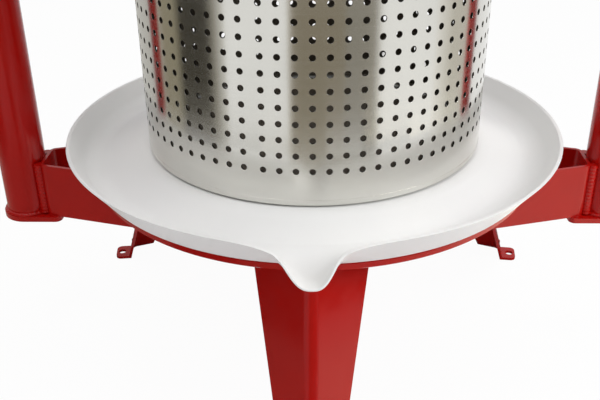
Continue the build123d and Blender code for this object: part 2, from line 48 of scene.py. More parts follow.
# Basket
BASKET_RADIUS = 148.5 * MM
BASKET_SHEET = 1.5 * MM
BASKET_HEM = 6 * MM
HEM_STEP = 0.08 * MM
HEM_LIFT = 1.2 * MM
BEAD_RADIUS = 4 * MM
BEAD_SIDES = 24
HEM_ARC_STEPS = 6
LATHE_TURNS = 180
HOLE_RADIUS = 2.55 * MM
HOLE_SIDES = 16
HOLE_COLUMNS = 74
HOLE_ROWS = 17
HOLE_ROW_PITCH = 12.61 * MM
FIRST_HOLE_ROW = 29.9 * MM
SEAM_AZIMUTH = math.radians(-17.1)
SEAM_WIDTH = 2.9 * MM
SEAM_ROWS = 40
BAND_ROWS = 3
FLAT_MERGE = 0.03 * MM
WALL_MERGE = 0.01 * MM
FACE_ON = 0.9
CUT_MARGIN = 0.03 * BASKET_SHEET

# Juice tray
TRAY_PLATFORM_RADIUS = 156.5 * MM
TRAY_GUTTER_RADIUS = 199.1 * MM
TRAY_GUTTER_DEPTH = 15 * MM
TRAY_FOOT_RADIUS = 198.5 * MM
TRAY_MIDDLE_RADIUS = 20 * MM
TRAY_OUTSIDE_START = 8 * MM
TRAY_SEAT_GAP = 0.3 * MM
TRAY_WALL = 2.4 * MM
TRAY_RIM_ROUND = 0.5 * MM
TRAY_FRONT_SQUASH = 0.994
TRAY_PLATFORM_ROUND = 30 * MM
TRAY_GUTTER_ROUND = 20 * MM
TRAY_FOOT_ROUND = 5 * MM
TRAY_STEP = 2.0
TRAY_ARC_STEPS = 16
TRAY_WALL_STEPS = 30
TRAY_FOOT_STEPS = 8
# Painted shade: the tray is painted darker brown under the basket, where it lies in the basket's shade
UNDER_BASKET_SHADE_RADIUS = 153 * MM
UNDER_BASKET_SHADE_EDGE = 5 * MM
UNDER_BASKET_SHADE_WANDER = 20 * MM
SPOUT_REACH = 24.3 * MM
SPOUT_DROP = 21.3 * MM
SPOUT_RISE = 1.3
SPOUT_HALF_WIDTH = 15.9 * MM
SPOUT_SHAPE = 3.0
SPOUT_OFFSET = -1.3 * MM
SPOUT_LEAN = 2.6 * MM
SPOUT_ROOT_FLARE = 0.5
SPOUT_LIP = 1.2 * MM
SPOUT_SHOULDER = 0.345
SPOUT_SHOULDER_WIDTH = 31 * MM
SPOUT_REGION = 20
SPOUT_STEP = 0.4

# Screw spindle
SCREW_LEAD = 5 * MM
THREAD_RADIUS = 13 * MM
THREAD_DEPTH = 2.4 * MM
THREAD_ROOT_WIDTH = 3.2 * MM
THREAD_CREST_WIDTH = 1.7 * MM
THREAD_OVERLAP = 0.1 * MM
THREAD_RESOLUTION = 60
NECK_RADIUS = 10 * MM
NECK_CLEARANCE = 8 * MM
NECK_TAPER = 1 * MM
COLLAR_RADIUS = 16 * MM
COLLAR_HEIGHT = 10 * MM
COLLAR_CHAMFER = 0.6 * MM
SPINDLE_MIDDLE = 0.5 * MM
SPINDLE_TURNS = 64

# Welds
FOOT_WELD_RADIUS = 2.5 * MM
FOOT_WELD_LIFT = 0.4 * MM
FOOT_WELD_HALF_TURN = 140
FOOT_WELD_STEP = 4
BEAM_WELD_RADIUS = 4.5 * MM
BEAM_WELD_SPREAD = 14 * MM
BEAM_WELD_OFFSET = 2.1 * MM
BEAM_WELD_END = 1 * MM
WELD_RIPPLE = 3.6 * MM
WELD_RIPPLE_DEPTH = 0.045
WELD_RIPPLE_STEPS = 6
WELD_SIDES = 12

# Range in which most of a noise texture lies
NOISE_LOW = 0.3
NOISE_HIGH = 0.7

# Studio
FLOOR_HALF = 8.0
FLOOR_GLOW = 0.96
FLOOR_TONE = (0.92, 0.92, 0.92, 1)
WHITE = (1, 1, 1, 1)
AMBIENT_LIGHT = 0.43
LAMP_SIDE = 0.6
LIT_POINT = Vector((0, -0.05, 0.2))
CARD_RADIUS = 0.68
CARD_FOOT = 0.5 * MM
CARD_HEIGHT = 0.34
CARD_COLUMNS = 24
# Painted dark reflections for the front leg, seen only in polished surfaces
DARK_REFLECTION_RADIUS = 0.3
DARK_REFLECTION_HEIGHT = 0.17
LEFT_DARK_REFLECTION_FOOT = 0.082
RIGHT_DARK_REFLECTION_FOOT = 0.108
# Painted reflections of the floor: glowing patches that only polished surfaces see
PATCH_INNER = 0.27
PATCH_LIFT = 0.4 * MM
PATCH_STEPS = 24
PATCH_TONE = (1, 0.93, 0.78, 1)
GREY_REFLECTION_RADIUS = 0.66
GREY_REFLECTION_GLOW = 0.5
BRIGHT_REFLECTION_RADIUS = 0.64
BRIGHT_REFLECTION_GLOW = 2.2
SHADE_X = 0.2
SHADE_HALF = 0.045
SHADE_FRONT = 0.085
SHADE_BACK = 0.18
SHADE_GLOW = 0.05

# Camera, fitted to the photograph's 600 x 400 frame
IMAGE_WIDTH = 600
FOCAL_PIXELS = 832.0
CAMERA_PLACE = Vector((0.0075, -0.7053, 0.5042))
CAMERA_PITCH = math.radians(28.047)
CAMERA_YAW = math.radians(-1.66)
CAMERA_ROLL = math.radians(-0.664)


class Value:
    """An output socket. Arithmetic on it adds Math nodes to its tree."""

    def __init__(self, graph, socket):
        self.graph = graph
        self.socket = socket

    def __add__(self, other):
        return self.graph.math("ADD", self, other)

    def __sub__(self, other):
        return self.graph.math("SUBTRACT", self, other)

    def __rsub__(self, other):
        return self.graph.math("SUBTRACT", other, self)

    def __mul__(self, other):
        return self.graph.math("MULTIPLY", self, other)

    def __truediv__(self, other):
        return self.graph.math("DIVIDE", self, other)

    def __rtruediv__(self, other):
        return self.graph.math("DIVIDE", other, self)

    def __pow__(self, other):
        return self.graph.math("POWER", self, other)

    __radd__ = __add__
    __rmul__ = __mul__


class Graph:
    """A node tree that is being built."""

    def __init__(self, tree):
        self.tree = tree

    def node(self, kind, settings=None, inputs=None, output=0):
        """Add a node: its settings first, then the values or links of its inputs."""
        made = self.tree.nodes.new(kind)
        for key, value in (settings or {}).items():
            if key == "stops":
                set_stops(made.color_ramp, value)
            else:
                setattr(made, key, value)
        for key, value in (inputs or {}).items():
            if isinstance(value, Value):
                self.tree.links.new(value.socket, made.inputs[key])
            else:
                made.inputs[key].default_value = value
        return Value(self, made.outputs[output]) if made.outputs else None

    def math(self, operation, *operands):
        """A Math node."""
        return self.node("ShaderNodeMath", {"operation": operation}, dict(enumerate(operands)))

    def split(self, vector):
        """The three components of a vector."""
        parts = self.tree.nodes.new("ShaderNodeSeparateXYZ")
        self.tree.links.new(vector.socket, parts.inputs[0])
        return [Value(self, socket) for socket in parts.outputs]

    def combine(self, x, y, z):
        """A vector from three components."""
        return self.node("ShaderNodeCombineXYZ", {}, {0: x, 1: y, 2: z})

    def mix(self, factor, first, second):
        """A colour between two colours."""
        return self.node("ShaderNodeMix", {"data_type": "RGBA"}, {0: factor, 6: first, 7: second}, 2)

    def noise(self, place, scale, detail, stretch=(1, 1, 1)):
        """Noise from 0 to 1, with its grain stretched along the axes."""
        stretched = self.node("ShaderNodeVectorMath", {"operation": "MULTIPLY"}, {0: place, 1: stretch})
        return self.node("ShaderNodeTexNoise", {}, {"Vector": stretched, "Scale": scale, "Detail": detail})

    def spread(self, value, low, high, new_low, new_high):
        """A value moved from one range to another, without going past its ends."""
        return self.node("ShaderNodeMapRange", {}, {0: value, 1: low, 2: high, 3: new_low, 4: new_high})

    def vary(self, noise, low=0, high=1):
        """Noise spread from the range in which most of it lies."""
        return self.spread(noise, NOISE_LOW, NOISE_HIGH, low, high)

    def bump(self, height, strength, distance):
        """A normal that a height tilts."""
        return self.node("ShaderNodeBump", {}, {
            "Strength": strength, "Distance": distance, "Height": height,
        })

    def join(self, *parts):
        """Join Geometry, whose one input takes many links."""
        made = self.tree.nodes.new("GeometryNodeJoinGeometry")
        for part in parts:
            self.tree.links.new(part.socket, made.inputs[0])
        return Value(self, made.outputs[0])

    def grid(self, width, height, columns, rows):
        """A flat sheet of faces, with so many points along its sides."""
        return self.node("GeometryNodeMeshGrid", {}, {
            "Size X": width, "Size Y": height, "Vertices X": columns, "Vertices Y": rows,
        })

    def moved(self, geometry, x, y, z):
        """Geometry moved along the axes."""
        offset = self.combine(x, y, z)
        return self.node("GeometryNodeTransform", {}, {"Geometry": geometry, "Translation": offset})

    def merged(self, geometry, distance):
        """Geometry in which points that lie this close are made one."""
        return self.node("GeometryNodeMergeByDistance", {}, {"Geometry": geometry, "Distance": distance})


def set_stops(ramp, stops):
    """Give a colour ramp its (place, colour) stops."""
    while len(ramp.elements) > 1:
        ramp.elements.remove(ramp.elements[-1])
    for index, (place, tone) in enumerate(stops):
        stop = ramp.elements[0] if index == 0 else ramp.elements.new(place)
        stop.position = place
        stop.color = (*tone, 1)


def colour(red, green, blue):
    """A colour as the shader takes it, from its 0 to 255 screen values."""
    def linear(channel):
        share = channel / 255
        return share / 12.92 if share <= 0.04045 else ((share + 0.055) / 1.055) ** 2.4
    return (linear(red), linear(green), linear(blue), 1)


def new_material(name):
    """An empty material, its graph and the object coordinates in it."""
    material = bpy.data.materials.new(name)
    material.use_nodes = True
    material.node_tree.nodes.clear()
    graph = Graph(material.node_tree)
    return material, graph, graph.node("ShaderNodeTexCoord", output="Object")


def close_material(graph, sockets):
    """End a material in one Principled shader."""
    shader = graph.node("ShaderNodeBsdfPrincipled", {}, sockets)
    graph.node("ShaderNodeOutputMaterial", {}, {"Surface": shader})


def powder_coat():
    """Glossy red powder coat with a faint orange peel and uneven depth of colour."""
    material, graph, place = new_material("red_powder_coat")
    depth = graph.noise(place, scale=9, detail=3)
    peel = graph.noise(place, scale=420, detail=2)
    flow = graph.noise(place, scale=110, detail=2)
    close_material(graph, {
        "Base Color": graph.mix(graph.vary(depth), colour(168, 13, 8), colour(178, 16, 10)),
        "Roughness": graph.vary(flow, 0.16, 0.24),
        "Specular IOR Level": 0.21,
        "Normal": graph.bump(peel + flow * 2, strength=0.06, distance=0.3 * MM),
    })
    return material


def brushed_stainless(name, base, grain_stretch, roughness, turned, shaded_within=None, shaded_cut_beyond=None):
    """Stainless sheet with fine brush lines.

    Within a radius of the upright axis it is rougher and painted darker, as painted shade inside the
    basket, and the cut edges between the two radii are painted darker still, as painted shade in the holes.
    """
    material, graph, place = new_material(name)
    lines = graph.noise(place, scale=1, detail=4, stretch=grain_stretch)
    cloud = graph.noise(place, scale=14, detail=3)
    darker = (*(channel * 0.94 for channel in base[:3]), 1)
    tone = graph.mix(graph.vary(cloud), base, darker)
    gloss = graph.spread(lines + cloud * 0.5, 0.45, 1.05, roughness * 0.85, roughness * 1.2)
    if shaded_within:
        x, y, _ = graph.split(place)
        reach = x * x + y * y
        inside_shade = graph.math("LESS_THAN", reach, shaded_within**2)
        cut_shade = inside_shade * graph.math("GREATER_THAN", reach, shaded_cut_beyond**2)
        # Painted shade: darker inside the basket and darker still on the hole walls
        tone = graph.mix(inside_shade, tone, colour(122, 116, 105))
        tone = graph.mix(cut_shade, tone, colour(56, 53, 48))
        gloss = gloss + inside_shade * 0.25
    close_material(graph, {
        "Base Color": tone,
        "Metallic": 1.0,
        "Roughness": gloss,
        "Anisotropic": 0.7,
        "Anisotropic Rotation": 0.25 if turned else 0.0,
        "Normal": graph.bump(lines, strength=0.03, distance=0.2 * MM),
    })
    return material


def moulded_white():
    """Satin white moulding with a fine moulded texture. Under the basket it is painted darker brown, as
    painted shade inside the basket.
    """
    material, graph, place = new_material("white_moulding")
    fine = graph.noise(place, scale=900, detail=2)
    broad = graph.noise(place, scale=7, detail=2)
    tone = graph.mix(graph.spread(broad, 0.35, 0.65, 0, 1), colour(229, 229, 229), colour(235, 235, 234))
    x, y, _ = graph.split(place)
    # Painted shade under the basket: darker brown where the basket's holes look in
    from_axis = (x * x + y * y) ** 0.5 + graph.noise(place, scale=30, detail=3) * UNDER_BASKET_SHADE_WANDER
    under_basket_shade = graph.spread(from_axis, UNDER_BASKET_SHADE_RADIUS - UNDER_BASKET_SHADE_EDGE, UNDER_BASKET_SHADE_RADIUS, 0.9, 0)
    close_material(graph, {
        "Base Color": graph.mix(under_basket_shade, tone, colour(128, 114, 95)),
        "Roughness": graph.vary(fine, 0.40, 0.50),
        "Normal": graph.bump(fine, strength=0.06, distance=0.2 * MM),
    })
    return material


def bright_zinc():
    """Zinc plate with cloudy passivation."""
    material, graph, place = new_material("bright_zinc")
    cloud = graph.noise(place, scale=160, detail=4)
    close_material(graph, {
        "Base Color": graph.mix(graph.vary(cloud), colour(201, 203, 206), colour(208, 207, 203)),
        "Metallic": 1.0,
        "Roughness": graph.vary(cloud, 0.26, 0.34),
        "Normal": graph.bump(cloud, strength=0.03, distance=0.2 * MM),
    })
    return material


def turned_metal(name, light, dark, roughness):
    """Metal turned on a lathe about the upright axis, with fine rings and darker grease."""
    material, graph, place = new_material(name)
    rings = graph.noise(place, scale=1, detail=3, stretch=(8, 8, 2600))
    grease = graph.noise(place, scale=45, detail=4)
    close_material(graph, {
        "Base Color": graph.mix(graph.spread(grease, 0.42, 0.68, 0, 1), light, dark),
        "Metallic": 1.0,
        "Roughness": graph.vary(grease, roughness, roughness * 1.5),
        "Normal": graph.bump(rings, strength=0.08, distance=0.2 * MM),
    })
    return material


def black_moulding():
    """Black plastic with a fine spark-eroded texture."""
    material, graph, place = new_material("black_moulding")
    fine = graph.noise(place, scale=1500, detail=2)
    broad = graph.noise(place, scale=30, detail=2)
    close_material(graph, {
        "Base Color": graph.mix(graph.vary(broad), colour(26, 26, 27), colour(34, 34, 35)),
        "Roughness": graph.vary(fine, 0.38, 0.5),
        "Normal": graph.bump(fine, strength=0.15, distance=0.2 * MM),
    })
    return material


STEEL_TONE = colour(217, 216, 210)
STEEL_GRAIN = (5, 5, 1400)
STEEL_ROUGHNESS = 0.17
red = powder_coat()
basket_steel = brushed_stainless("basket_steel", STEEL_TONE, STEEL_GRAIN, STEEL_ROUGHNESS, True)
# The wall's inside and its hole walls carry painted shade
wall_steel = brushed_stainless(
    "wall_steel", STEEL_TONE, STEEL_GRAIN, STEEL_ROUGHNESS, True,
    BASKET_RADIUS - CUT_MARGIN, BASKET_RADIUS - BASKET_SHEET + CUT_MARGIN,
)
plate_steel = brushed_stainless("plate_steel", colour(206, 205, 201), (900, 6, 6), 0.24, False)
white = moulded_white()
zinc = bright_zinc()
screw_steel = turned_metal("screw_steel", colour(176, 175, 172), colour(120, 116, 108), 0.22)
bronze = turned_metal("bronze", colour(205, 160, 96), colour(150, 106, 56), 0.24)
black = black_moulding()

# Finishes of the CAD nodes. Those not named here are painted red
finish_of_node = {
    "basket_shell": basket_steel,
    "basket_handles": plate_steel,
    "press_plate": plate_steel,
    "plate_ribs": plate_steel,
    "thrust_cup": plate_steel,
    "cup_retainer": plate_steel,
    "juice_tray": white,
    "spindle": screw_steel,
    "spindle_nut": bronze,
    "thrust_washer": bronze,
    "left_upright_cap": black,
    "right_upright_cap": black,
    "bar_knobs": black,
    "crossbar_bolts": zinc,
    "crossbar_washers": zinc,
    "crossbar_nuts": zinc,
    "block_bolts": zinc,
    "block_nuts": zinc,
    "nut_screws": zinc,
    "retainer_screws": zinc,
    "hub_pin": zinc,
    "handle_bar": zinc,
}
for name, node in nodes.items():
    node.data.materials.clear()
    node.data.materials.append(finish_of_node.get(name, red))


def new_piece(name, mesh, material, body, replaced=()):
    """Put a finished mesh in the scene as a piece that rides on a body."""
    mesh.name = name
    mesh.materials.clear()
    mesh.materials.append(material)
    piece = bpy.data.objects.new(name, mesh)
    bpy.context.scene.collection.objects.link(piece)
    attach(piece, body)
    if replaced:
        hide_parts(*replaced)


def skin(rings, closed_profile):
    """Faces over rings of points round the axis, with a pole at each end unless the profile is closed."""
    turns, steps, _ = rings.shape
    points = rings.reshape(-1, 3)
    index = np.arange(turns * steps).reshape(turns, steps)
    onward = np.roll(index, -1, axis=0)
    if closed_profile:
        beside, beside_onward = np.roll(index, -1, axis=1), np.roll(onward, -1, axis=1)
        quads = np.stack([index, onward, beside_onward, beside], axis=-1)
        faces = quads.reshape(-1, 4).tolist()
    else:
        quads = np.stack([index[:, :-1], onward[:, :-1], onward[:, 1:], index[:, 1:]], axis=-1)
        faces = quads.reshape(-1, 4).tolist()
        for column, flip in ((0, False), (steps - 1, True)):
            pole = len(points)
            points = np.vstack([points, rings[:, column].mean(axis=0)])
            for a, b in zip(index[:, column].tolist(), onward[:, column].tolist()):
                faces.append([a, b, pole] if flip else [b, a, pole])
    mesh = bpy.data.meshes.new("skin")
    mesh.from_pydata(points.tolist(), [], faces)
    mesh.polygons.foreach_set("use_smooth", [True] * len(mesh.polygons))
    mesh.update()
    return mesh


def lathe(profile, turns):
    """A closed profile of (radius, level) points turned about the upright axis."""
    angles = np.linspace(0, 2 * math.pi, turns, endpoint=False)
    profile = np.array(profile)
    rings = np.empty((turns, len(profile), 3))
    rings[..., 0] = profile[:, 0] * np.cos(angles)[:, None]
    rings[..., 1] = profile[:, 0] * np.sin(angles)[:, None]
    rings[..., 2] = profile[:, 1]
    return skin(rings, True)


def rounded_path(corners, rounds, arc_steps):
    """Points along straight runs whose inner corners are rounded."""
    corners = [np.array(corner, float) for corner in corners]
    path = [corners[0]]
    for before, corner, after, radius in zip(corners, corners[1:], corners[2:], rounds):
        back = (before - corner) / np.linalg.norm(before - corner)
        ahead = (after - corner) / np.linalg.norm(after - corner)
        half = math.acos(np.clip(back @ ahead, -1, 1)) / 2
        reach = radius / math.tan(half)
        middle = corner + (back + ahead) / np.linalg.norm(back + ahead) * radius / math.sin(half)
        start, end = corner + back * reach, corner + ahead * reach
        for share in np.linspace(0, 1, arc_steps):
            chord = start + (end - start) * share - middle
            path.append(middle + chord / np.linalg.norm(chord) * radius)
    path.append(corners[-1])
    return np.array(path)


def geometry_graph(name, sizes):
    """A Geometry Nodes tree with named inputs, and the values of those inputs."""
    tree = bpy.data.node_groups.new(name, "GeometryNodeTree")
    tree.interface.new_socket("Geometry", in_out="INPUT", socket_type="NodeSocketGeometry")
    tree.interface.new_socket("Geometry", in_out="OUTPUT", socket_type="NodeSocketGeometry")
    for key, value in sizes.items():
        kind = "NodeSocketInt" if isinstance(value, int) else "NodeSocketFloat"
        tree.interface.new_socket(key, in_out="INPUT", socket_type=kind)
    graph = Graph(tree)
    entry = tree.nodes.new("NodeGroupInput")
    return graph, {socket.name: Value(graph, socket) for socket in entry.outputs if socket.name}


def grow(graph, result, sizes, material, source=None):
    """Close a tree, run it with these sizes and give its plain mesh."""
    result = graph.node("GeometryNodeRealizeInstances", {}, {0: result})
    result = graph.node("GeometryNodeSetMaterial", {}, {"Geometry": result, "Material": material})
    graph.node("NodeGroupOutput", {}, {0: result})
    seed = bpy.data.objects.new("seed", source or bpy.data.meshes.new("seed"))
    bpy.context.scene.collection.objects.link(seed)
    modifier = seed.modifiers.new("grow", "NODES")
    modifier.node_group = graph.tree
    for item in graph.tree.interface.items_tree:
        if item.name in sizes:
            modifier[item.identifier] = sizes[item.name]
    depsgraph = bpy.context.evaluated_depsgraph_get()
    mesh = bpy.data.meshes.new_from_object(seed.evaluated_get(depsgraph), depsgraph=depsgraph)
    seed.modifiers.remove(modifier)
    bpy.data.objects.remove(seed)
    return mesh


def perforated_sheet(foot, top):
    """The basket's wall: square cells with a round hole, laid out flat and rolled up at the seam."""
    sizes = {
        "Radius": BASKET_RADIUS,
        "Sheet": BASKET_SHEET,
        "Columns": HOLE_COLUMNS,
        "Rows": HOLE_ROWS,
        "Row Pitch": HOLE_ROW_PITCH,
        "First Row": foot + FIRST_HOLE_ROW,
        "Hole Radius": HOLE_RADIUS,
        "Hole Sides": HOLE_SIDES,
        "Seam Width": SEAM_WIDTH,
        "Seam Azimuth": SEAM_AZIMUTH,
        "Foot": foot + BASKET_HEM * 0.5,
        "Top": top - BEAD_RADIUS,
    }
    graph, size = geometry_graph("perforated_sheet", sizes)
    node = graph.node
    columns, rows, radius = size["Columns"], size["Rows"], size["Radius"]
    row_pitch, seam = size["Row Pitch"], size["Seam Width"]
    sheet_foot, sheet_top = size["Foot"], size["Top"]
    width = radius * (2 * math.pi) - seam
    pitch = width / columns
    position = node("GeometryNodeInputPosition")

    # One cell: a flat ring of faces whose outer points go to the sides of a rectangle
    ring = node("GeometryNodeMeshCone", {"fill_type": "NONE"}, {
        "Vertices": size["Hole Sides"],
        "Radius Top": size["Hole Radius"],
        "Radius Bottom": pitch,
        "Depth": 0.0,
    })
    x, y, _ = graph.split(position)
    reach = graph.math("MAXIMUM", graph.math("ABSOLUTE", x), graph.math("ABSOLUTE", y))
    across, along = (graph.math("ARCTANGENT", part / reach) * (4 / math.pi) for part in (x, y))
    cell = node("GeometryNodeSetPosition", {}, {
        "Geometry": ring,
        "Selection": graph.math("GREATER_THAN", reach, size["Hole Radius"] * 1.01),
        "Position": graph.combine(across * pitch * 0.5, along * row_pitch * 0.5, 0.0),
    })

    # The flat sheet: cells on a grid, plain bands above and below, and the seam's strip
    cells = node("GeometryNodeInstanceOnPoints", {}, {
        "Points": graph.grid(pitch * (columns - 1), row_pitch * (rows - 1), columns, rows),
        "Instance": cell,
    })
    cells = node("GeometryNodeRealizeInstances", {}, {0: cells})
    field_foot = size["First Row"] - row_pitch * 0.5
    field_top = field_foot + row_pitch * rows
    cells = graph.moved(cells, 0.0, (field_foot + field_top) * 0.5, 0.0)
    bands = []
    for low, high in ((sheet_foot, field_foot), (field_top, sheet_top)):
        band = graph.grid(width, high - low, columns * (HOLE_SIDES // 4) + 1, BAND_ROWS)
        bands.append(graph.moved(band, 0.0, (low + high) * 0.5, 0.0))
    strip = graph.grid(seam, sheet_top - sheet_foot, BAND_ROWS, SEAM_ROWS)
    strip = graph.moved(strip, (width + seam) * 0.5, (sheet_foot + sheet_top) * 0.5, 0.0)
    sheet = graph.merged(graph.join(cells, *bands, strip), FLAT_MERGE)

    # Rolled up and given its thickness
    x, y, _ = graph.split(position)
    azimuth = (x + width * 0.5 + seam * 0.5) / radius + size["Seam Azimuth"]
    rolled = graph.combine(
        graph.math("SINE", azimuth) * radius,
        graph.math("COSINE", azimuth) * radius * -1,
        y,
    )
    outside = node("GeometryNodeSetPosition", {}, {"Geometry": sheet, "Position": rolled})
    outside = graph.merged(outside, FLAT_MERGE)
    inside = node("GeometryNodeExtrudeMesh", {"mode": "FACES"}, {
        "Mesh": outside, "Offset Scale": size["Sheet"] * -1, "Individual": False,
    })
    inside = node("GeometryNodeFlipFaces", {}, {0: inside})
    wall = graph.merged(graph.join(outside, inside), WALL_MERGE)
    return grow(graph, wall, sizes, wall_steel)


def read_all(items, attribute, width, kind=float):
    """An attribute of all these items of a mesh, as one array."""
    values = np.empty(len(items) * width, kind)
    items.foreach_get(attribute, values)
    return values.reshape(-1, width) if width > 1 else values


def round_off(mesh):
    """Give the wall its cylinder's exact normals, so that reflections run smoothly between the holes."""
    centres = read_all(mesh.polygons, "center", 3)[:, :2]
    outward = centres / np.linalg.norm(centres, axis=1)[:, None]
    facing = (read_all(mesh.polygons, "normal", 3)[:, :2] * outward).sum(axis=1)
    facing = np.repeat(facing, read_all(mesh.polygons, "loop_total", 1, int))
    corners = read_all(mesh.loops, "vertex_index", 1, int)
    away = read_all(mesh.vertices, "co", 3)[corners, :2]
    away = away / np.linalg.norm(away, axis=1)[:, None]
    normals = np.zeros((len(corners), 3))
    on_face = np.abs(facing) > FACE_ON
    normals[on_face, :2] = away[on_face] * np.sign(facing[on_face])[:, None]
    mesh.polygons.foreach_set("use_smooth", [True] * len(mesh.polygons))
    mesh.normals_split_custom_set(normals.tolist())


basket_low, basket_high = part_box("basket_shell")
wall_mesh = perforated_sheet(basket_low.z, basket_high.z)
round_off(wall_mesh)
new_piece("basket_wall", wall_mesh, wall_steel, "basket", ["basket_shell"])

# Rolled rim and folded hem of the same sheet
bead_radius = BASKET_RADIUS - BASKET_SHEET + BEAD_RADIUS
bead_level = basket_high.z - BEAD_RADIUS
bead = [
    (bead_radius + BEAD_RADIUS * math.cos(turn), bead_level + BEAD_RADIUS * math.sin(turn))
    for turn in np.linspace(0, 2 * math.pi, BEAD_SIDES, endpoint=False)
]
new_piece("basket_rim", lathe(bead, LATHE_TURNS), basket_steel, "basket")
hem_outer = BASKET_RADIUS + HEM_STEP
hem_inner = BASKET_RADIUS - 2 * BASKET_SHEET
hem_top = basket_low.z + BASKET_HEM
hem = rounded_path(
    [
        (hem_inner + HEM_STEP, hem_top),
        (hem_inner, hem_top),
        (hem_inner, basket_low.z),
        (hem_outer, basket_low.z + HEM_LIFT),
        (hem_outer, hem_top),
        (hem_outer - HEM_STEP, hem_top),
    ],
    [HEM_STEP * 0.5, BASKET_SHEET * 0.2, BASKET_SHEET, HEM_STEP * 0.9], HEM_ARC_STEPS,
)
new_piece("basket_hem", lathe(hem, LATHE_TURNS), basket_steel, "basket")


def rounded_corner(start, corner, end):
    """Four points on the curve that rounds a corner off."""
    return [start * (1 - s) ** 2 + corner * 2 * s * (1 - s) + end * s**2 for s in (0, 1 / 3, 2 / 3, 1)]


def tray_mesh(seat):
    """The moulded tray: rings from the middle over platform, gutter and wall to the rim, and back below."""
    tray_low, tray_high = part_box("juice_tray")
    rim_radius = tray_high.x
    floor = seat - TRAY_SEAT_GAP
    slope = np.array([rim_radius - TRAY_FOOT_RADIUS, tray_high.z - tray_low.z])
    rim_width = TRAY_WALL * np.linalg.norm(slope) / slope[1]
    wall_top = (rim_radius - rim_width, tray_high.z)
    base = rounded_path(
        [
            (TRAY_MIDDLE_RADIUS, floor),
            (TRAY_PLATFORM_RADIUS, floor),
            (TRAY_GUTTER_RADIUS, floor - TRAY_GUTTER_DEPTH),
            wall_top,
        ],
        [TRAY_PLATFORM_ROUND, TRAY_GUTTER_ROUND], TRAY_ARC_STEPS,
    )
    wall_shares = np.linspace(0, 1, TRAY_WALL_STEPS)[1:, None]
    top = np.vstack([base[:-1], base[-2] + (base[-1] - base[-2]) * wall_shares])

    # The spout draws the wall out and down, most at the rim: a narrow channel between broad shoulders
    fine_turns = np.arange(-SPOUT_REGION, SPOUT_REGION, SPOUT_STEP)
    plain_turns = np.arange(SPOUT_REGION, 360 - SPOUT_REGION, TRAY_STEP)
    azimuth = np.radians(np.concatenate([fine_turns, plain_turns]))[:, None]
    off_axis = (azimuth + math.pi) % (2 * math.pi) - math.pi
    root_radius = TRAY_GUTTER_RADIUS - TRAY_GUTTER_ROUND * 0.5
    share = np.clip((top[:, 0] - root_radius) / (wall_top[0] - root_radius), 0, 1)
    width = SPOUT_HALF_WIDTH * (1 + SPOUT_ROOT_FLARE * (1 - share))
    lateral = rim_radius * np.sin(np.clip(off_axis, -math.pi / 2, math.pi / 2)) - SPOUT_OFFSET
    channel = np.exp(-(np.abs(lateral / width) ** SPOUT_SHAPE))
    shoulder = np.exp(-((lateral / SPOUT_SHOULDER_WIDTH) ** 2))
    pull = (channel * (1 - SPOUT_SHOULDER) + shoulder * SPOUT_SHOULDER) * share**SPOUT_RISE
    radius = top[:, 0] + SPOUT_REACH * pull
    level = top[:, 1] - SPOUT_DROP * pull
    sideways = radius * np.sin(azimuth) + SPOUT_LEAN * pull
    upper = np.stack([sideways, -radius * np.cos(azimuth), level], axis=-1)

    # Thickness, less towards the spout's lip
    round_way = np.roll(upper, -1, axis=0) - np.roll(upper, 1, axis=0)
    out_way = np.gradient(upper, axis=1)
    below = np.cross(out_way, round_way)
    below /= np.linalg.norm(below, axis=-1)[..., None]
    below *= np.where(below[..., 2:] > 0, -1, 1)
    wall_start = int(np.argmax(top[:, 0] > TRAY_FOOT_RADIUS + TRAY_OUTSIDE_START))
    wall = TRAY_WALL + (SPOUT_LIP - TRAY_WALL) * pull[..., None]
    outer = (upper + below * wall)[:, -2:wall_start:-1]

    # Flat rim with rounded edges
    rim_way = out_way[:, -1] / np.linalg.norm(out_way[:, -1], axis=-1)[:, None]
    fall = -below[:, -1, 2:]
    levelling = np.clip(fall / np.sqrt(1 - fall**2), 0, 1) * (1 - pull[:, -1:])
    inner_edge = upper[:, -1]
    outer_edge = inner_edge + (below[:, -1] + rim_way * levelling) * wall[:, -1]
    across = outer_edge - inner_edge
    across *= TRAY_RIM_ROUND / np.linalg.norm(across, axis=-1)[:, None]
    down = -rim_way * TRAY_RIM_ROUND
    rim = rounded_corner(inner_edge + down, inner_edge, inner_edge + across)
    rim += rounded_corner(outer_edge - across, outer_edge, outer_edge + down)

    # Foot
    corner = np.array([TRAY_FOOT_RADIUS, tray_low.z])
    foot_path = rounded_path(
        [corner + slope * 0.25, corner, (TRAY_MIDDLE_RADIUS, tray_low.z)],
        [TRAY_FOOT_ROUND], TRAY_FOOT_STEPS,
    )
    foot = [
        np.concatenate([r * np.sin(azimuth), -r * np.cos(azimuth), np.full_like(azimuth, z)], axis=1)
        for r, z in foot_path[1:]
    ]
    rings = np.concatenate([upper[:, :-1], np.stack(rim, axis=1), outer, np.stack(foot, axis=1)], axis=1)
    rings[..., 1] *= np.where(rings[..., 1] < 0, TRAY_FRONT_SQUASH, 1)
    return skin(rings, False)


new_piece("moulded_tray", tray_mesh(basket_low.z), white, "tray", ["juice_tray"])


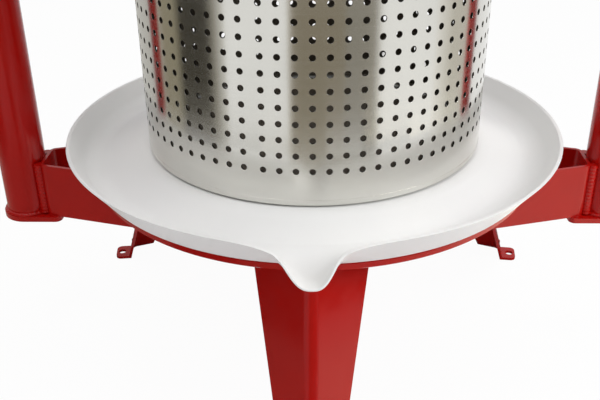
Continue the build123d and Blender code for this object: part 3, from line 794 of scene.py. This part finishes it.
def screw_thread(low, high):
    """A trapezoid ridge that follows a right-handed helix round the spindle."""
    sizes = {
        "Radius": THREAD_RADIUS - THREAD_DEPTH / 2,
        "Depth": THREAD_DEPTH,
        "Root Width": THREAD_ROOT_WIDTH,
        "Crest Width": THREAD_CREST_WIDTH,
        "Turns": (high - low - THREAD_ROOT_WIDTH) / SCREW_LEAD,
        "Height": high - low - THREAD_ROOT_WIDTH,
        "Foot": low + THREAD_ROOT_WIDTH / 2,
    }
    graph, size = geometry_graph("screw_thread", sizes)
    helix = graph.node("GeometryNodeCurveSpiral", {}, {
        "Resolution": THREAD_RESOLUTION,
        "Rotations": size["Turns"],
        "Start Radius": size["Radius"],
        "End Radius": size["Radius"],
        "Height": size["Height"],
        "Reverse": True,
    })
    helix = graph.node("GeometryNodeSetCurveNormal", {"mode": "Z_UP"}, {0: helix})
    ridge = graph.node("GeometryNodeCurvePrimitiveQuadrilateral", {"mode": "TRAPEZOID"}, {
        "Height": size["Depth"],
        "Bottom Width": size["Root Width"],
        "Top Width": size["Crest Width"],
        "Offset": 0.0,
    })
    ridge = graph.node("GeometryNodeTransform", {}, {
        "Geometry": ridge, "Rotation": (0, 0, -math.pi / 2),
    })
    thread = graph.node("GeometryNodeCurveToMesh", {}, {
        "Curve": helix, "Profile Curve": ridge, "Fill Caps": True,
    })
    return grow(graph, graph.moved(thread, 0.0, 0.0, size["Foot"]), sizes, screw_steel)


def weld_beads(lines, radius):
    """Rippled beads along polylines."""
    sizes = {
        "Radius": radius,
        "Ripple": WELD_RIPPLE,
        "Step": WELD_RIPPLE / WELD_RIPPLE_STEPS,
        "Depth": WELD_RIPPLE_DEPTH,
    }
    points, edges = [], []
    for line in lines:
        edges += [(len(points) + k, len(points) + k + 1) for k in range(len(line) - 1)]
        points += line
    source = bpy.data.meshes.new("weld_lines")
    source.from_pydata(points, edges, [])
    graph, size = geometry_graph("weld_beads", sizes)
    curve = graph.node("GeometryNodeMeshToCurve", {}, {0: size["Geometry"]})
    curve = graph.node("GeometryNodeResampleCurve", {"mode": "LENGTH"}, {
        "Curve": curve, "Length": size["Step"],
    })
    along = graph.node("GeometryNodeSplineParameter", output="Length")
    ripple = graph.math("SINE", along * (2 * math.pi) / size["Ripple"])
    circle = graph.node("GeometryNodeCurvePrimitiveCircle", {}, {
        "Resolution": WELD_SIDES, "Radius": 1.0,
    })
    bead = graph.node("GeometryNodeCurveToMesh", {}, {
        "Curve": curve,
        "Profile Curve": circle,
        "Scale": (ripple * size["Depth"] + 1) * size["Radius"],
        "Fill Caps": True,
    })
    return grow(graph, bead, sizes, red, source)


# Spindle: the CAD shape with the thread on a thinner core
spindle_low, spindle_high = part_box("spindle")
hub_low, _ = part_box("handle_hub")
_, retainer_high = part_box("cup_retainer")
collar_top = spindle_low.z + COLLAR_HEIGHT
thread_low = retainer_high.z + NECK_CLEARANCE
core_radius = THREAD_RADIUS - THREAD_DEPTH + THREAD_OVERLAP
spindle_profile = [
    (SPINDLE_MIDDLE, spindle_low.z),
    (COLLAR_RADIUS - COLLAR_CHAMFER, spindle_low.z),
    (COLLAR_RADIUS, spindle_low.z + COLLAR_CHAMFER),
    (COLLAR_RADIUS, collar_top - COLLAR_CHAMFER),
    (COLLAR_RADIUS - COLLAR_CHAMFER, collar_top),
    (NECK_RADIUS, collar_top),
    (NECK_RADIUS, thread_low - NECK_TAPER),
    (core_radius, thread_low),
    (core_radius, hub_low.z - NECK_TAPER),
    (NECK_RADIUS, hub_low.z),
    (NECK_RADIUS, spindle_high.z),
    (SPINDLE_MIDDLE, spindle_high.z),
]
core_mesh = lathe(spindle_profile, SPINDLE_TURNS)
new_piece("spindle_core", core_mesh, screw_steel, "spindle", ["spindle"])
thread_mesh = screw_thread(thread_low, hub_low.z)
new_piece("spindle_thread", thread_mesh, screw_steel, "spindle")

# Welds of the frame: beam ends on the uprights, and uprights on the sole plates
upright_low, upright_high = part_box("right_upright")
upright_x = (upright_low.x + upright_high.x) / 2
upright_radius = (upright_high.x - upright_low.x) / 2
beam_low, beam_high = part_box("right_beam")
foot_turns = np.radians(np.arange(-FOOT_WELD_HALF_TURN, FOOT_WELD_HALF_TURN + 1, FOOT_WELD_STEP))
beam_lines, foot_lines = [], []
for side in (-1, 1):
    for edge in (-1, 1):
        x, y = side * (beam_high.x + BEAM_WELD_OFFSET), edge * BEAM_WELD_SPREAD
        beam_lines.append([(x, y, beam_low.z + BEAM_WELD_END), (x, y, beam_high.z - BEAM_WELD_END)])
    ring = []
    for turn in foot_turns:
        x, y = upright_x + upright_radius * math.cos(turn), upright_radius * math.sin(turn)
        ring.append((side * x, y, upright_low.z + FOOT_WELD_LIFT))
    foot_lines.append(ring)
new_piece("beam_welds", weld_beads(beam_lines, BEAM_WELD_RADIUS), red, "frame")
new_piece("foot_welds", weld_beads(foot_lines, FOOT_WELD_RADIUS), red, "frame")


def seen_directly(graph):
    """1 for camera rays and for rays that metal or glass sends on, which meet the white background."""
    rays = graph.tree.nodes.new("ShaderNodeLightPath").outputs
    names = ("Is Camera Ray", "Is Glossy Ray", "Is Transmission Ray")
    camera_ray, glossy_ray, through_ray = (Value(graph, rays[name]) for name in names)
    return camera_ray + glossy_ray + through_ray


def staged(name, points, faces, material):
    """A piece of the studio."""
    mesh = bpy.data.meshes.new(name)
    mesh.from_pydata(points, [], faces)
    mesh.materials.append(material)
    piece = bpy.data.objects.new(name, mesh)
    bpy.context.scene.collection.objects.link(piece)
    return piece


# Floor: white to the camera, with a trace of the object's shadow
floor_material, floor_graph, _ = new_material("white_floor")
matt = floor_graph.node("ShaderNodeBsdfDiffuse", {}, {"Color": FLOOR_TONE})
glow = floor_graph.node("ShaderNodeEmission", {}, {"Color": WHITE, "Strength": 1.0})
floor_share = seen_directly(floor_graph) * FLOOR_GLOW
floor_mix = floor_graph.node("ShaderNodeMixShader", {}, {0: floor_share, 1: matt, 2: glow})
floor_graph.node("ShaderNodeOutputMaterial", {}, {"Surface": floor_mix})
floor_corners = [(x * FLOOR_HALF, y * FLOOR_HALF, 0) for x, y in ((-1, -1), (1, -1), (1, 1), (-1, 1))]
staged("floor", floor_corners, [(0, 1, 2, 3)], floor_material)

# Background: white to the camera and to metal, and a plain light on everything else
world = bpy.data.worlds.new("studio")
bpy.context.scene.world = world
world.use_nodes = True
world.node_tree.nodes.clear()
sky = Graph(world.node_tree)
ambient = sky.node("ShaderNodeBackground", {}, {"Color": WHITE, "Strength": AMBIENT_LIGHT})
backdrop = sky.node("ShaderNodeBackground", {}, {"Color": WHITE, "Strength": 1.0})
sky_mix = sky.node("ShaderNodeMixShader", {}, {0: seen_directly(sky), 1: ambient, 2: backdrop})
sky.node("ShaderNodeOutputWorld", {}, {"Surface": sky_mix})


def reflected_piece(name, points, faces, material, graph, tone, strength):
    """A glowing piece of the studio that only polished surfaces see, a painted reflection."""
    light = graph.node("ShaderNodeEmission", {}, {"Color": tone, "Strength": strength})
    graph.node("ShaderNodeOutputMaterial", {}, {"Surface": light})
    piece = staged(name, points, faces, material)
    piece.visible_camera = False
    piece.visible_diffuse = False
    piece.visible_transmission = False
    piece.visible_shadow = False


def on_circle(radius, azimuth):
    """A place round the object's axis. Azimuths are in degrees from the front, to the right."""
    turn = math.radians(azimuth)
    return radius * math.sin(turn), -radius * math.cos(turn)


def reflection_card(name, stops, radius=CARD_RADIUS, foot=CARD_FOOT, height=CARD_HEIGHT):
    """A curved glowing panel round the object that only polished surfaces see, a painted reflection with
    the tones of its (azimuth, tone) stops.
    """
    material, graph, place = new_material(name)
    first, last = stops[0][0], stops[-1][0]
    x, y, _ = graph.split(place)
    azimuth = graph.math("ARCTAN2", x, y * -1)
    share = graph.spread(azimuth, math.radians(first), math.radians(last), 0, 1)
    ramp = [((stop - first) / (last - first), tone) for stop, tone in stops]
    shown = graph.node("ShaderNodeValToRGB", {"stops": ramp}, {0: share})
    points, faces = [], []
    for step in range(CARD_COLUMNS + 1):
        x, y = on_circle(radius, first + (last - first) * step / CARD_COLUMNS)
        points += [(x, y, foot), (x, y, height)]
    for corner in range(0, 2 * CARD_COLUMNS, 2):
        faces.append((corner, corner + 2, corner + 3, corner + 1))
    reflected_piece(name, points, faces, material, graph, shown, 1.0)


def floor_patch(name, outline, strength):
    """A flat glowing patch just above the floor that only polished surfaces see, a painted reflection of
    the floor.
    """
    material, graph, _ = new_material(name)
    points = [(x, y, PATCH_LIFT) for x, y in outline]
    faces = [tuple(range(len(points)))]
    reflected_piece(name, points, faces, material, graph, PATCH_TONE, strength)


def ring_sector(inner, outer, first, last):
    """Outline of a sector of a ring round the object's axis."""
    azimuths = np.linspace(first, last, PATCH_STEPS)
    return [on_circle(outer, a) for a in azimuths] + [on_circle(inner, a) for a in azimuths[::-1]]


# Painted reflections of the room in the basket's steel: glowing panels that only polished surfaces see
BEIGE = (0.30, 0.27, 0.195)
DARK = (0.045, 0.040, 0.030)
BROWN = (0.25, 0.215, 0.155)
GREY = (0.27, 0.25, 0.21)
PALE_GREY = (0.56, 0.55, 0.52)
reflection_card("left_card", [
    (-150, PALE_GREY), (-106, PALE_GREY), (-97, BEIGE), (-86, BEIGE),
    (-80, DARK), (-61, DARK), (-56, GREY), (-49, (0.75, 0.74, 0.7)),
])
reflection_card("front_card", [
    (-13, (0.7, 0.66, 0.6)), (-10, BROWN), (17, BROWN), (19, GREY), (34, GREY), (38, (0.8, 0.79, 0.76)),
])
reflection_card("right_card", [
    (74, (0.95, 0.93, 0.9)), (88, (0.64, 0.61, 0.54)), (112, (0.66, 0.63, 0.57)),
])

# Dark panels that only polished surfaces see, a painted dark reflection that keeps the far floor out of the
# front leg's upper half
reflection_card("left_dark_reflection", [(-50, DARK), (-24, DARK)], DARK_REFLECTION_RADIUS, LEFT_DARK_REFLECTION_FOOT, DARK_REFLECTION_HEIGHT)
reflection_card("right_dark_reflection", [(24, DARK), (50, DARK)], DARK_REFLECTION_RADIUS, RIGHT_DARK_REFLECTION_FOOT, DARK_REFLECTION_HEIGHT)

# Painted reflections of the floor in the paint: grey at the left and in front, bright at the right, and
# painted shade under the rear legs
floor_patch("grey_floor_reflection", ring_sector(PATCH_INNER, GREY_REFLECTION_RADIUS, -115, 8), GREY_REFLECTION_GLOW)
floor_patch("bright_floor_reflection", ring_sector(PATCH_INNER, BRIGHT_REFLECTION_RADIUS, 30, 115), BRIGHT_REFLECTION_GLOW)
for name, x in (("left_shade", -SHADE_X), ("right_shade", SHADE_X)):
    near, far = x - SHADE_HALF, x + SHADE_HALF
    shade = [(near, SHADE_FRONT), (far, SHADE_FRONT), (far, SHADE_BACK), (near, SHADE_BACK)]
    floor_patch(name, shade, SHADE_GLOW)


def soft_box(name, place, watts):
    """A square area lamp that faces the object."""
    lamp = bpy.data.lights.new(name, "AREA")
    lamp.shape = "SQUARE"
    lamp.size = LAMP_SIDE
    lamp.energy = watts
    holder = bpy.data.objects.new(name, lamp)
    holder.location = place
    holder.rotation_euler = (LIT_POINT - Vector(place)).to_track_quat("-Z", "Y").to_euler()
    bpy.context.scene.collection.objects.link(holder)


soft_box("key_light", (0.85, -0.5, 0.8), 6.4)
soft_box("left_light", (-0.45, -0.25, 1.4), 4.0)
soft_box("rear_light", (0.5, 0.3, 1.4), 4.3)

# Camera
ahead = Vector((
    math.sin(CAMERA_YAW) * math.cos(CAMERA_PITCH),
    math.cos(CAMERA_YAW) * math.cos(CAMERA_PITCH),
    -math.sin(CAMERA_PITCH),
))
level_right = Vector((math.cos(CAMERA_YAW), -math.sin(CAMERA_YAW), 0))
level_up = level_right.cross(ahead)
right = level_right * math.cos(CAMERA_ROLL) + level_up * math.sin(CAMERA_ROLL)
up = level_up * math.cos(CAMERA_ROLL) - level_right * math.sin(CAMERA_ROLL)
lens = bpy.data.cameras.new("camera")
lens.sensor_fit = "HORIZONTAL"
lens.sensor_width = 36.0
lens.lens = FOCAL_PIXELS / IMAGE_WIDTH * lens.sensor_width
lens.clip_start = 0.02
lens.clip_end = 60
camera = bpy.data.objects.new("camera", lens)
camera.matrix_world = Matrix.Translation(CAMERA_PLACE) @ Matrix((right, up, -ahead)).transposed().to_4x4()
bpy.context.scene.collection.objects.link(camera)
bpy.context.scene.camera = camera

bpy.context.scene.view_settings.view_transform = "Standard"
